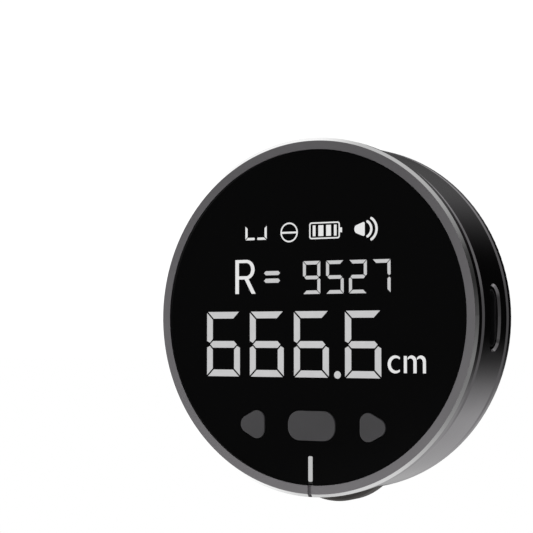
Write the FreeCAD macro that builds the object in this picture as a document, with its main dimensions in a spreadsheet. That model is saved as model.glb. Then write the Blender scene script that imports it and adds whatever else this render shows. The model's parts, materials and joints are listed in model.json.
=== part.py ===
import FreeCAD, Part
import math
import os
import re
import Sketcher

# A rolling digital ruler: a round, palm-sized puck that stands upright on a measuring wheel.
# X runs to the right, Y from the display side to the back, Z up.  The origin is under the wheel,
# in the middle of the puck's depth.  Every piece on the puck is drawn about the puck's own centre:
# "depth" is the distance behind the front face, "across" is X and "up" is Z.

# Driving dimensions, in millimetres.
DIMENSIONS = {
    # Overall.
    "puck_radius": 28.0,
    "puck_depth": 15.0,
    "wheel_circumference": 70.0,
    "wheel_stand_out": 1.68,
    "fit_gap": 0.1,
    # Bezel ring and the lens that it holds.
    "bezel_radius": 28.35,
    "bezel_flat_radius": 27.87,
    "bezel_chamfer": 0.37,
    "bezel_side_depth": 1.55,
    "skirt_radius": 26.9,
    "skirt_bore": 26.1,
    "skirt_depth": 4.6,
    "ledge_bore": 25.6,
    "ledge_front": 1.42,
    "ledge_back": 2.1,
    "notch_across": -0.25,
    "notch_width": 0.65,
    "notch_depth": 0.55,
    "glass_radius": 26.47,
    "glass_front": 0.3,
    "glass_back": 1.3,
    "glass_gap": 0.05,
    # Side band, its two openings and the seal behind it.
    "band_front": 3.0,
    "band_back": 12.35,
    "band_bore": 26.4,
    "band_socket_bore": 26.95,
    "band_socket_depth": 5.0,
    "collar_radius": 27.5,
    "collar_front": 1.6,
    "lip_radius": 27.7,
    "lip_length": 0.43,
    "gasket_thickness": 0.2,
    "gasket_bore": 26.5,
    # Keys under the lens.
    "key_front": 0.12,
    "key_gap": 0.12,
    "key_up": -17.17,
    "key_flange_front": 1.45,
    "key_flange_back": 1.95,
    "key_flange_width": 0.6,
    "key_post_radius": 1.3,
    "key_edge": 0.12,
    "side_key_across": 9.93,
    "side_key_tip": 11.48,
    "side_key_spread": 0.82,
    "side_key_corner": 1.42,
    "middle_key_across": 2.15,
    "middle_key_spread": 0.28,
    "middle_key_corner": 2.05,
    # Dome switches under the keys.
    "switch_across": 10.4,
    "switch_width": 3.5,
    "switch_height": 3.0,
    "switch_front": 4.6,
    "switch_well_radius": 0.8,
    "switch_well_back": 5.5,
    "plunger_radius": 0.72,
    "plunger_front": 4.0,
    "plunger_back": 4.95,
    # Display cell and its backlight.
    "frame_front": 2.15,
    "cell_half_width": 20.1,
    "cell_top": 15.7,
    "cell_bottom": -10.9,
    "contact_edge": -13.0,
    "film_half_width": 19.9,
    "film_top": 15.6,
    "film_bottom": -10.3,
    "front_film_front": 1.75,
    "front_glass_front": 1.95,
    "rear_glass_front": 2.45,
    "rear_film_front": 2.95,
    "rear_film_back": 3.15,
    "guide_front": 3.25,
    "guide_back": 4.65,
    "guide_bottom": -10.8,
    "led_up": -11.4,
    "led_spacing": 12.0,
    "led_length": 3.0,
    "led_height": 1.0,
    "led_front": 3.3,
    "led_back": 4.6,
    "frame_half_width": 20.75,
    "frame_bottom": -13.7,
    "frame_top": 16.35,
    "frame_corner": 1.4,
    "frame_recess_corner": 0.5,
    "frame_wall": 0.5,
    "frame_floor_front": 4.75,
    "frame_floor_back": 5.1,
    "strip_bottom": -13.0,
    "strip_top": -12.1,
    "strip_half_length": 17.0,
    # Circuit board and what stands on it.
    "board_front": 6.0,
    "board_back": 6.8,
    "board_radius": 25.8,
    "board_bush_hole": 2.4,
    "board_screw_circle": 23.8,
    "board_screw_radius": 0.6,
    "board_screw_head": 1.15,
    "board_screw_head_front": 5.35,
    "board_screw_back": 9.4,
    "board_boss_radius": 1.5,
    "mcu_across": -6.0,
    "mcu_up": -6.0,
    "mcu_side": 7.0,
    "mcu_thickness": 0.9,
    "charger_across": 13.0,
    "charger_up": -4.0,
    "charger_side": 3.0,
    "charger_thickness": 0.8,
    "crystal_across": 2.6,
    "crystal_up": -4.2,
    "crystal_length": 3.2,
    "crystal_width": 2.5,
    "crystal_thickness": 0.7,
    "plug_up": 7.0,
    "plug_width": 3.0,
    "plug_height": 4.2,
    "plug_thickness": 2.0,
    "capacitor_across": 5.5,
    "capacitor_up": -7.0,
    "capacitor_pitch": 2.4,
    "capacitor_drop": 2.0,
    "capacitor_length": 1.6,
    "capacitor_width": 0.8,
    "resistor_across": -2.0,
    "resistor_up": -1.4,
    "resistor_pitch": 1.3,
    "resistor_width": 0.5,
    "resistor_length": 1.0,
    "resistor_thickness": 0.35,
    "sensor_across": 1.4,
    "sensor_above_axle": 6.3,
    "sensor_side": 1.6,
    "sensor_thickness": 0.75,
    "buzzer_across": -17.0,
    "buzzer_up": -5.2,
    "buzzer_radius": 4.0,
    "buzzer_thickness": 2.0,
    "vent_radius": 0.6,
    "vent_depth": 0.7,
    # Charging socket.
    "socket_depth": 7.93,
    "socket_up": -0.25,
    "socket_spread": 2.84,
    "socket_radius": 1.63,
    "socket_wall": 0.3,
    "socket_inner_end": 19.9,
    "socket_outer_end": 27.25,
    "socket_base_end": 21.4,
    "tongue_end": 26.2,
    "tongue_width": 6.69,
    "tongue_thickness": 0.7,
    "opening_spread": 3.2,
    "opening_radius": 1.68,
    "opening_edge": 0.35,
    "opening_reach": 7.0,
    "window_room": 0.3,
    # Battery.
    "battery_left": -12.0,
    "battery_right": 12.0,
    "battery_bottom": 1.5,
    "battery_top": 20.4,
    "battery_front": 8.3,
    "battery_back": 12.0,
    "battery_corner": 1.2,
    "tape_margin": 2.0,
    "tray_front": 7.75,
    "tray_back": 8.2,
    "tray_bottom": 0.8,
    "tray_margin": 1.0,
    "tray_arm_across": -23.0,
    "tray_arm_top": 10.0,
    "tray_foot_across": -24.5,
    "lead_radius": 0.35,
    "lead_depth": 10.0,
    "lead_across": 15.0,
    "lead_bend": 0.9,
    "lead_low": 6.3,
    "lead_high": 7.7,
    # Chassis.
    "chassis_radius": 26.3,
    "chassis_bore": 24.0,
    "chassis_back": 11.9,
    "post_circle": 22.8,
    "post_radius": 2.1,
    "boss_cap": 0.8,
    # Measuring wheel, about its own axis.
    "wheel_front": 8.2,
    "wheel_width": 3.5,
    "wheel_room": 0.45,
    "tyre_bore": 9.5,
    "tyre_edge": 0.5,
    "hub_rim_bore": 8.4,
    "hub_set_back": 0.1,
    "hub_web_front": 9.75,
    "hub_web_back": 10.9,
    "hub_boss_radius": 2.2,
    "hub_boss_front": 8.55,
    "hub_boss_back": 11.85,
    "magnet_bore": 5.0,
    "magnet_radius": 7.6,
    "magnet_front": 8.85,
    "axle_radius": 0.75,
    "axle_front": 6.3,
    "axle_back": 13.8,
    "axle_end_gap": 0.2,
    "bush_bore": 0.79,
    "bush_radius": 1.5,
    "bush_flange": 2.2,
    "washer_radius": 2.1,
    "washer_gap": 0.05,
    "front_washer_front": 8.1,
    "rear_washer_back": 12.2,
    "bracket_front": 7.0,
    "bracket_back": 7.5,
    "bracket_half_width": 2.5,
    "bracket_across": 13.4,
    "stake_radius": 0.8,
    # Rear cover.
    "cover_front": 12.55,
    "cover_back": 14.8,
    "cover_inside": 12.7,
    "cover_lip_radius": 27.55,
    "cover_lip_back": 13.28,
    "cover_edge": 0.6,
    "spigot_radius": 26.3,
    "spigot_bore": 25.5,
    "spigot_front": 12.05,
    "cover_screw_head": 1.5,
    "cover_screw_head_front": 13.9,
    "cover_screw_head_back": 14.6,
    "cover_screw_radius": 0.7,
    "cover_screw_front": 9.6,
    "drive_width": 0.35,
    "drive_length": 1.7,
    "drive_depth": 0.4,
    "pad_radius": 16.0,
    "pad_front": 14.5,
}

WHEEL_RADIUS = "(wheel_circumference / (2 * pi))"
PUCK_HEIGHT = "(puck_radius + wheel_stand_out)"
AXLE_UP = "(" + WHEEL_RADIUS + " - " + PUCK_HEIGHT + ")"
WHEEL_BACK = "(wheel_front + wheel_width)"
COVER_SCREW_ANGLES = (45, 135, 215, 325)
BOARD_SCREW_ANGLES = (90, 202, 338)
# Edges this close to a limit count as lying on it.
TOUCH = 0.01

doc = FreeCAD.newDocument("RollingRuler")
sheet = doc.addObject("Spreadsheet::Sheet", "Dims")
for row, (alias, size) in enumerate(DIMENSIONS.items(), start=1):
    sheet.set("A%d" % row, alias.replace("_", " "))
    sheet.set("B%d" % row, str(size))
    sheet.setAlias("B%d" % row, alias)
doc.recompute()

nodes = []


# ---- Sizes taken from the sheet ----

def bound(text):
    """The expression with every dimension read from the sheet."""
    return re.sub("[a-z_]+", lambda word: "Dims." + word[0] if word[0] in DIMENSIONS else word[0], text)


def number(text):
    return float(sheet.evalExpression(bound(text)))


def constrain(sketch, kind, *where_and_size):
    """A dimension of a sketch, bound to the expression that comes last."""
    where, size = where_and_size[:-1], where_and_size[-1]
    index = sketch.addConstraint(Sketcher.Constraint(kind, *where, number(size)))
    sketch.setExpression("Constraints[%d]" % index, bound(size))


# ---- Bodies and sketches ----

def new_body(label, height=PUCK_HEIGHT):
    """A body whose axes pass through the puck's centre, or the wheel's at the wheel's height."""
    body = doc.addObject("PartDesign::Body", label)
    body.Label = label
    body.setExpression("Placement.Base.y", bound("-puck_depth / 2"))
    body.setExpression("Placement.Base.z", bound(height))
    nodes.append(body)
    return body


def new_sketch(body, role, offset):
    sketch = body.newObject("Sketcher::SketchObject", body.Label + "_sketch")
    plane = next(item for item in body.Origin.OriginFeatures if item.Role == role)
    sketch.AttachmentSupport = [(plane, "")]
    sketch.MapMode = "FlatFace"
    sketch.setExpression("AttachmentOffset.Base.z", bound(offset))
    return sketch


def face_sketch(body, depth):
    """A sketch parallel to the display, at a depth behind the front face."""
    return new_sketch(body, "XZ_Plane", "-(" + depth + ")")


def side_sketch(body, across):
    """A sketch square to X, whose own axes are depth and up."""
    return new_sketch(body, "YZ_Plane", across)


def section_sketch(body, up="0"):
    """A sketch square to Z, whose own axes are across (or radius) and depth."""
    return new_sketch(body, "XY_Plane", up)


# ---- Outlines ----

def place(sketch, item, point, across, up):
    constrain(sketch, "DistanceX", item, point, across)
    constrain(sketch, "DistanceY", item, point, up)


def polygon(sketch, corners):
    points = [FreeCAD.Vector(number(across), number(up), 0) for across, up in corners]
    sides = [sketch.addGeometry(Part.LineSegment(points[i - 1], points[i])) for i in range(len(points))]
    for i, (across, up) in enumerate(corners):
        place(sketch, sides[i], 2, across, up)
    for i in range(len(sides)):
        sketch.addConstraint(Sketcher.Constraint("Coincident", sides[i - 1], 2, sides[i], 1))


def rectangle(sketch, left, bottom, right, top):
    polygon(sketch, [(left, bottom), (right, bottom), (right, top), (left, top)])


def circle(sketch, radius, across="0", up="0"):
    centre = FreeCAD.Vector(number(across), number(up), 0)
    item = sketch.addGeometry(Part.Circle(centre, FreeCAD.Vector(0, 0, 1), number(radius)))
    constrain(sketch, "Radius", item, radius)
    place(sketch, item, 3, across, up)


def rounded(sketch, centres, radius):
    """The outline of equal circles held in a tight band; centres run anticlockwise."""
    size = number(radius)
    points = [FreeCAD.Vector(number(across), number(up), 0) for across, up in centres]
    count = len(points)
    along = [(points[(i + 1) % count] - points[i]).normalize() for i in range(count)]
    outward = [FreeCAD.Vector(step.y, -step.x, 0) for step in along]
    lines = []
    for i in range(count):
        start = points[i] + outward[i] * size
        end = points[(i + 1) % count] + outward[i] * size
        lines.append(sketch.addGeometry(Part.LineSegment(start, end)))
    for i, (across, up) in enumerate(centres):
        first = math.atan2(outward[i - 1].y, outward[i - 1].x)
        last = math.atan2(outward[i].y, outward[i].x)
        full = Part.Circle(points[i], FreeCAD.Vector(0, 0, 1), size)
        arc = sketch.addGeometry(Part.ArcOfCircle(full, first, last if last > first else last + 2 * math.pi))
        sketch.addConstraint(Sketcher.Constraint("Tangent", lines[i - 1], 2, arc, 1))
        sketch.addConstraint(Sketcher.Constraint("Tangent", arc, 2, lines[i], 1))
        constrain(sketch, "Radius", arc, radius)
        place(sketch, arc, 3, across, up)


def rounded_box(sketch, left, bottom, right, top, corner):
    low_x, high_x = left + " + " + corner, right + " - " + corner
    low_z, high_z = bottom + " + " + corner, top + " - " + corner
    rounded(sketch, [(low_x, low_z), (high_x, low_z), (high_x, high_z), (low_x, high_z)], corner)


def on_circle(radius, degrees):
    """Across and up of a point on a circle about the puck's centre."""
    return "%s * cos(%d)" % (radius, degrees), "%s * sin(%d)" % (radius, degrees)


# ---- Features ----

def extrude(body, kind, sketch, length, flip):
    feature = body.newObject("PartDesign::" + kind, body.Label + "_" + kind.lower())
    feature.Profile = sketch
    feature.setExpression("Length", bound(length))
    feature.Reversed = flip
    sketch.Visibility = False
    doc.recompute()
    return feature


def slab(body, sketch, front, back):
    """Material from the face sketch at the front depth to the back depth."""
    return extrude(body, "Pad", sketch, "%s - (%s)" % (back, front), True)


def bore(body, sketch, front, back):
    """A cut from the face sketch at the front depth towards the back."""
    return extrude(body, "Pocket", sketch, "%s - (%s)" % (back, front), False)


def bore_from_back(body, sketch, front, back):
    """A cut from the face sketch at the back depth towards the front."""
    return extrude(body, "Pocket", sketch, "%s - (%s)" % (back, front), True)


def turn(body, corners):
    """A solid of revolution about the depth axis, from corners given as radius and depth."""
    sketch = section_sketch(body)
    polygon(sketch, corners)
    feature = body.newObject("PartDesign::Revolution", body.Label + "_turn")
    feature.Profile = sketch
    feature.ReferenceAxis = (sketch, ["V_Axis"])
    feature.Angle = 360
    doc.recompute()
    return feature


def edges_where(feature, test):
    """Names of the feature's edges whose box, in the body's own axes, passes the test."""
    return ["Edge%d" % (i + 1) for i, edge in enumerate(feature.Shape.Edges) if test(edge.BoundBox)]


def dress(body, kind, feature, names, size_name, size):
    """A fillet or chamfer on the named edges of a feature."""
    work = body.newObject("PartDesign::" + kind, body.Label + "_" + kind.lower())
    work.Base = (feature, names)
    work.setExpression(size_name, bound(size))
    doc.recompute()
    return work


def disc(label, radius, front, back, height=PUCK_HEIGHT, hole=None):
    """A round plate or ring, as its own node."""
    body = new_body(label, height)
    sketch = face_sketch(body, front)
    circle(sketch, radius)
    if hole:
        circle(sketch, hole)
    slab(body, sketch, front, back)
    return body


def plates(label, boxes, front, back):
    """One node of rectangular plates, each given by centre and size."""
    body = new_body(label)
    sketch = face_sketch(body, front)
    for across, up, width, height in boxes:
        left, right = "%s - %s / 2" % (across, width), "%s + %s / 2" % (across, width)
        bottom, top = "%s - %s / 2" % (up, height), "%s + %s / 2" % (up, height)
        rectangle(sketch, left, bottom, right, top)
    slab(body, sketch, front, back)
    return body


# ---- Bezel, lens and keys ----

SIDE_KEY = [("side_key_across", "key_up - side_key_spread"),
            ("side_key_tip", "key_up"),
            ("side_key_across", "key_up + side_key_spread")]
MIDDLE_KEY = [("-middle_key_across", "key_up - middle_key_spread"),
              ("middle_key_across", "key_up - middle_key_spread"),
              ("middle_key_across", "key_up + middle_key_spread"),
              ("-middle_key_across", "key_up + middle_key_spread")]
MIRRORED_KEY = [("-" + across, up) for across, up in reversed(SIDE_KEY)]
# Name, outline, corner radius and how far across its switch is.
KEYS = [("left", MIRRORED_KEY, "side_key_corner", "-switch_across"),
        ("centre", MIDDLE_KEY, "middle_key_corner", "0"),
        ("right", SIDE_KEY, "side_key_corner", "switch_across")]


def make_bezel_ring():
    body = new_body("bezel_ring")
    turn(body, [("glass_radius + glass_gap", "0"),
                ("bezel_flat_radius", "0"),
                ("bezel_radius", "bezel_chamfer"),
                ("bezel_radius", "bezel_side_depth"),
                ("skirt_radius", "bezel_side_depth"),
                ("skirt_radius", "skirt_depth"),
                ("skirt_bore", "skirt_depth"),
                ("skirt_bore", "ledge_back"),
                ("ledge_bore", "ledge_back"),
                ("ledge_bore", "ledge_front"),
                ("glass_radius + glass_gap", "ledge_front")])
    notch = face_sketch(body, "0")
    rectangle(notch, "notch_across - notch_width / 2", "-bezel_radius - fit_gap",
              "notch_across + notch_width / 2", "-glass_radius")
    bore(body, notch, "0", "notch_depth")


def make_front_lens():
    body = new_body("front_lens")
    sketch = face_sketch(body, "glass_front")
    circle(sketch, "glass_radius")
    for _, centres, corner, _ in KEYS:
        rounded(sketch, centres, corner + " + key_gap")
    slab(body, sketch, "glass_front", "glass_back")
    disc("lens_adhesive", "glass_radius - glass_gap", "glass_back", "ledge_front", hole="ledge_bore")


def make_key(side, centres, corner, switch_across):
    body = new_body("key_" + side)
    cap = face_sketch(body, "key_front")
    rounded(cap, centres, corner)
    top = slab(body, cap, "key_front", "key_flange_front")
    rim = edges_where(top, lambda box: box.YMax < number("key_front") + TOUCH)
    dress(body, "Fillet", top, rim, "Radius", "key_edge")
    flange = face_sketch(body, "key_flange_front")
    rounded(flange, centres, corner + " + key_flange_width")
    slab(body, flange, "key_flange_front", "key_flange_back")
    post = face_sketch(body, "key_flange_back")
    circle(post, "key_post_radius", switch_across, "key_up")
    slab(body, post, "key_flange_back", "plunger_front")


def make_switch(side, switch_across):
    body = plates("switch_body_" + side, [(switch_across, "key_up", "switch_width", "switch_height")],
                  "switch_front", "board_front")
    well = face_sketch(body, "switch_front")
    circle(well, "switch_well_radius", switch_across, "key_up")
    bore(body, well, "switch_front", "switch_well_back")
    plunger = new_body("switch_plunger_" + side)
    sketch = face_sketch(plunger, "plunger_front")
    circle(sketch, "plunger_radius", switch_across, "key_up")
    slab(plunger, sketch, "plunger_front", "plunger_back")


# ---- Display ----

def make_display():
    # Each layer's name, half width, bottom, top, front and back.
    film = ("film_half_width", "film_bottom", "film_top")
    layers = [("lcd_front_polarizer", *film, "front_film_front", "front_glass_front"),
              ("lcd_front_glass", "cell_half_width", "cell_bottom", "cell_top",
               "front_glass_front", "rear_glass_front"),
              ("lcd_rear_glass", "cell_half_width", "contact_edge", "cell_top",
               "rear_glass_front", "rear_film_front"),
              ("lcd_rear_polarizer", *film, "rear_film_front", "rear_film_back"),
              ("lcd_light_guide", "cell_half_width", "guide_bottom", "cell_top", "guide_front", "guide_back")]
    for label, half_width, bottom, top, front, back in layers:
        body = new_body(label)
        sketch = face_sketch(body, front)
        rectangle(sketch, "-" + half_width, bottom, half_width, top)
        slab(body, sketch, front, back)


def make_backlight_frame():
    body = new_body("lcd_backlight_frame")
    outer = face_sketch(body, "frame_front")
    rounded_box(outer, "-frame_half_width", "frame_bottom", "frame_half_width", "frame_top", "frame_corner")
    slab(body, outer, "frame_front", "board_front")
    inner_half = "frame_half_width - frame_wall"
    for front, back in (("frame_front", "frame_floor_front"), ("frame_floor_back", "board_front")):
        recess = face_sketch(body, front)
        rounded_box(recess, "-(%s)" % inner_half, "frame_bottom + frame_wall", "(%s)" % inner_half,
                    "frame_top - frame_wall", "frame_recess_corner")
        bore(body, recess, front, back)
    slit = face_sketch(body, "frame_floor_front")
    rectangle(slit, "-strip_half_length - fit_gap", "strip_bottom - fit_gap",
              "strip_half_length + fit_gap", "strip_top + fit_gap")
    bore(body, slit, "frame_floor_front", "frame_floor_back")


def make_backlight_feed():
    strip = new_body("lcd_zebra_strip")
    sketch = face_sketch(strip, "rear_film_front")
    rectangle(sketch, "-strip_half_length", "strip_bottom", "strip_half_length", "strip_top")
    slab(strip, sketch, "rear_film_front", "board_front")
    lamps = [(across, "led_up", "led_length", "led_height") for across in ("-led_spacing", "0", "led_spacing")]
    plates("backlight_leds", lamps, "led_front", "led_back")


# ---- Circuit board ----

def make_main_pcb():
    body = disc("main_pcb", "board_radius", "board_front", "board_back")
    holes = face_sketch(body, "board_front")
    circle(holes, "board_bush_hole", "0", AXLE_UP)
    for angle in BOARD_SCREW_ANGLES:
        circle(holes, "board_screw_radius", *on_circle("board_screw_circle", angle))
    bore(body, holes, "board_front", "board_back")
    half_height = "(socket_spread + socket_radius + fit_gap)"
    bay = face_sketch(body, "board_front")
    rectangle(bay, "socket_inner_end - fit_gap", "socket_up - " + half_height,
              "board_radius + fit_gap", "socket_up + " + half_height)
    bore(body, bay, "board_front", "board_back")


def board_chip(label, boxes, thickness):
    """Parts soldered to the back of the board."""
    plates(label, boxes, "board_back", "board_back + " + thickness)


def make_board_parts():
    board_chip("mcu_chip", [("mcu_across", "mcu_up", "mcu_side", "mcu_side")], "mcu_thickness")
    board_chip("charge_chip", [("charger_across", "charger_up", "charger_side", "charger_side")],
               "charger_thickness")
    board_chip("crystal", [("crystal_across", "crystal_up", "crystal_length", "crystal_width")],
               "crystal_thickness")
    board_chip("battery_connector", [("lead_across", "plug_up", "plug_width", "plug_height")],
               "plug_thickness")
    capacitors = [("capacitor_across + %d * capacitor_pitch" % column, "capacitor_up - %d * capacitor_drop" % row,
                   "capacitor_length", "capacitor_width") for column in range(3) for row in range(2)]
    board_chip("chip_capacitors", capacitors, "capacitor_width")
    resistors = [("resistor_across + %d * resistor_pitch" % column, "resistor_up",
                  "resistor_width", "resistor_length") for column in range(5)]
    board_chip("chip_resistors", resistors, "resistor_thickness")
    sensors = [(across, AXLE_UP + " + sensor_above_axle", "sensor_side", "sensor_side")
               for across in ("-sensor_across", "sensor_across")]
    board_chip("hall_sensors", sensors, "sensor_thickness")


def make_buzzer():
    body = new_body("buzzer")
    top = "board_back + buzzer_thickness"
    can = face_sketch(body, "board_back")
    circle(can, "buzzer_radius", "buzzer_across", "buzzer_up")
    slab(body, can, "board_back", top)
    vent = face_sketch(body, top)
    circle(vent, "vent_radius", "buzzer_across", "buzzer_up")
    bore_from_back(body, vent, top + " - vent_depth", top)


def make_pcb_screws():
    body = new_body("pcb_screws")
    centres = [on_circle("board_screw_circle", angle) for angle in BOARD_SCREW_ANGLES]
    heads = face_sketch(body, "board_screw_head_front")
    shanks = face_sketch(body, "board_front")
    for across, up in centres:
        circle(heads, "board_screw_head", across, up)
        circle(shanks, "board_screw_radius", across, up)
    slab(body, heads, "board_screw_head_front", "board_front")
    slab(body, shanks, "board_front", "board_screw_back")


# ---- Charging socket ----

def socket_outline(sketch, spread, radius):
    rounded(sketch, [("socket_depth", "socket_up - " + spread), ("socket_depth", "socket_up + " + spread)],
            radius)


def make_usb_socket():
    shell = new_body("usb_shell")
    sketch = side_sketch(shell, "socket_inner_end")
    socket_outline(sketch, "socket_spread", "socket_radius")
    socket_outline(sketch, "socket_spread", "socket_radius - socket_wall")
    extrude(shell, "Pad", sketch, "socket_outer_end - socket_inner_end", False)
    insert = new_body("usb_tongue")
    base = side_sketch(insert, "socket_inner_end")
    socket_outline(base, "socket_spread", "socket_radius - socket_wall")
    extrude(insert, "Pad", base, "socket_base_end - socket_inner_end", False)
    tongue = side_sketch(insert, "socket_base_end")
    rectangle(tongue, "socket_depth - tongue_thickness / 2", "socket_up - tongue_width / 2",
              "socket_depth + tongue_thickness / 2", "socket_up + tongue_width / 2")
    extrude(insert, "Pad", tongue, "tongue_end - socket_base_end", False)


# ---- Battery ----

def make_battery():
    cell = new_body("battery_cell")
    sketch = face_sketch(cell, "battery_front")
    rounded_box(sketch, "battery_left", "battery_bottom", "battery_right", "battery_top", "battery_corner")
    slab(cell, sketch, "battery_front", "battery_back")
    tape = new_body("battery_tape")
    sketch = face_sketch(tape, "tray_back")
    rectangle(sketch, "battery_left + tape_margin", "battery_bottom + tape_margin",
              "battery_right - tape_margin", "battery_top - tape_margin")
    slab(tape, sketch, "tray_back", "battery_front")


def make_battery_leads():
    """Two leads from the cell's end, each bent once down into the connector on the board."""
    body = new_body("battery_leads")
    for up in ("lead_low", "lead_high"):
        path = section_sketch(body, up)
        start, bend = number("battery_right"), number("lead_bend")
        turn_x, turn_y = number("lead_across"), number("lead_depth")
        end = number("board_back + plug_thickness")
        centre = FreeCAD.Vector(turn_x - bend, turn_y - bend, 0)
        full = Part.Circle(centre, FreeCAD.Vector(0, 0, 1), bend)
        run = path.addGeometry(Part.LineSegment(FreeCAD.Vector(start, turn_y, 0),
                                                FreeCAD.Vector(turn_x - bend, turn_y, 0)))
        arc = path.addGeometry(Part.ArcOfCircle(full, 0, math.pi / 2))
        drop = path.addGeometry(Part.LineSegment(FreeCAD.Vector(turn_x, turn_y - bend, 0),
                                                 FreeCAD.Vector(turn_x, end, 0)))
        path.addConstraint(Sketcher.Constraint("Tangent", run, 2, arc, 2))
        path.addConstraint(Sketcher.Constraint("Tangent", arc, 1, drop, 1))
        constrain(path, "Radius", arc, "lead_bend")
        place(path, run, 1, "battery_right", "lead_depth")
        place(path, drop, 2, "lead_across", "board_back + plug_thickness")
        path.addConstraint(Sketcher.Constraint("Horizontal", run))
        path.addConstraint(Sketcher.Constraint("Vertical", drop))
        section = side_sketch(body, "battery_right")
        circle(section, "lead_radius", "lead_depth", up)
        pipe = body.newObject("PartDesign::AdditivePipe", "battery_lead")
        pipe.Profile = section
        pipe.Spine = path
        doc.recompute()


# ---- Chassis ----

def make_chassis():
    body = disc("chassis", "chassis_radius", "board_back", "chassis_back", hole="chassis_bore")
    tray = face_sketch(body, "tray_front")
    polygon(tray, [("battery_right + tray_margin", "tray_bottom"),
                   ("battery_right + tray_margin", "battery_top"),
                   ("battery_left - tray_margin", "battery_top"),
                   ("tray_arm_across", "tray_arm_top"),
                   ("tray_foot_across", "tray_bottom")])
    slab(body, tray, "tray_front", "tray_back")
    posts = face_sketch(body, "board_back")
    for angle in COVER_SCREW_ANGLES:
        circle(posts, "post_radius", *on_circle("post_circle", angle))
    slab(body, posts, "board_back", "cover_inside")
    bosses = face_sketch(body, "board_back")
    for angle in BOARD_SCREW_ANGLES:
        circle(bosses, "board_boss_radius", *on_circle("board_screw_circle", angle))
    slab(body, bosses, "board_back", "board_screw_back + boss_cap")
    feet = face_sketch(body, "bracket_back")
    for side in (-1, 1):
        circle(feet, "2 * stake_radius", "%d * bracket_across" % side, AXLE_UP)
    slab(body, feet, "bracket_back", "chassis_back")
    seat = face_sketch(body, "board_back")
    rounded(seat, [("-bracket_across", AXLE_UP), ("bracket_across", AXLE_UP)], "bracket_half_width + fit_gap")
    bore(body, seat, "board_back", "bracket_back")
    stakes = face_sketch(body, "bracket_front")
    for side in (-1, 1):
        circle(stakes, "stake_radius", "%d * bracket_across" % side, AXLE_UP)
    slab(body, stakes, "bracket_front", "bracket_back")
    pilots = face_sketch(body, "cover_inside")
    for angle in COVER_SCREW_ANGLES:
        circle(pilots, "cover_screw_radius", *on_circle("post_circle", angle))
    bore_from_back(body, pilots, "cover_screw_front", "cover_inside")
    holes = face_sketch(body, "board_back")
    for angle in BOARD_SCREW_ANGLES:
        circle(holes, "board_screw_radius", *on_circle("board_screw_circle", angle))
    bore(body, holes, "board_back", "board_screw_back")
    window = side_sketch(body, "puck_radius")
    half_height = "(socket_spread + socket_radius + window_room)"
    rectangle(window, "board_back - fit_gap", "socket_up - " + half_height,
              "socket_depth + socket_radius + window_room", "socket_up + " + half_height)
    extrude(body, "Pocket", window, "puck_radius - socket_inner_end + window_room", False)
    cut_wheel_well(body)


def cut_wheel_well(body):
    """Room for the wheel, cut about its axle."""
    well = face_sketch(body, "wheel_front - wheel_room")
    circle(well, WHEEL_RADIUS + " + wheel_room", "0", AXLE_UP)
    bore(body, well, "wheel_front - wheel_room", WHEEL_BACK + " + wheel_room")


def make_axle_bracket():
    body = new_body("axle_bracket")
    sketch = face_sketch(body, "bracket_front")
    rounded(sketch, [("-bracket_across", AXLE_UP), ("bracket_across", AXLE_UP)], "bracket_half_width")
    circle(sketch, "bush_radius", "0", AXLE_UP)
    for side in (-1, 1):
        circle(sketch, "stake_radius", "%d * bracket_across" % side, AXLE_UP)
    slab(body, sketch, "bracket_front", "bracket_back")


# ---- Measuring wheel ----

def flanged_bush(label, tip, flange_near, flange_far):
    """A sleeve from its tip to a flange; depths are in order from the tip."""
    body = new_body(label, WHEEL_RADIUS)
    turn(body, [("bush_bore", tip), ("bush_radius", tip), ("bush_radius", flange_near),
                ("bush_flange", flange_near), ("bush_flange", flange_far), ("bush_bore", flange_far)])


def make_bearings():
    flanged_bush("bush_front", "axle_front", "bracket_back", "front_washer_front")
    flanged_bush("bush_rear", "axle_back + axle_end_gap", "cover_inside", "rear_washer_back")
    washers = new_body("thrust_washers", WHEEL_RADIUS)
    for front, back in (("front_washer_front", "hub_boss_front - washer_gap"),
                        ("hub_boss_back + washer_gap", "rear_washer_back")):
        sketch = face_sketch(washers, front)
        circle(sketch, "washer_radius")
        circle(sketch, "bush_bore")
        slab(washers, sketch, front, back)


def make_wheel():
    disc("wheel_axle", "axle_radius", "axle_front", "axle_back", WHEEL_RADIUS)
    hub = new_body("wheel_hub", WHEEL_RADIUS)
    turn(hub, [("axle_radius", "hub_boss_front"),
               ("hub_boss_radius", "hub_boss_front"),
               ("hub_boss_radius", "hub_web_front"),
               ("hub_rim_bore", "hub_web_front"),
               ("hub_rim_bore", "wheel_front + hub_set_back"),
               ("tyre_bore", "wheel_front + hub_set_back"),
               ("tyre_bore", WHEEL_BACK + " - hub_set_back"),
               ("hub_rim_bore", WHEEL_BACK + " - hub_set_back"),
               ("hub_rim_bore", "hub_web_back"),
               ("hub_boss_radius", "hub_web_back"),
               ("hub_boss_radius", "hub_boss_back"),
               ("axle_radius", "hub_boss_back")])
    disc("encoder_magnet", "magnet_radius", "magnet_front", "hub_web_front", WHEEL_RADIUS, "magnet_bore")
    tyre = disc("wheel_tyre", WHEEL_RADIUS, "wheel_front", WHEEL_BACK, WHEEL_RADIUS, "tyre_bore")
    blank = tyre.Tip
    rim = edges_where(blank, lambda box: box.XLength > 2 * number(WHEEL_RADIUS) - TOUCH)
    dress(tyre, "Fillet", blank, rim, "Radius", "tyre_edge")


# ---- Side band and rear cover ----

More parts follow.
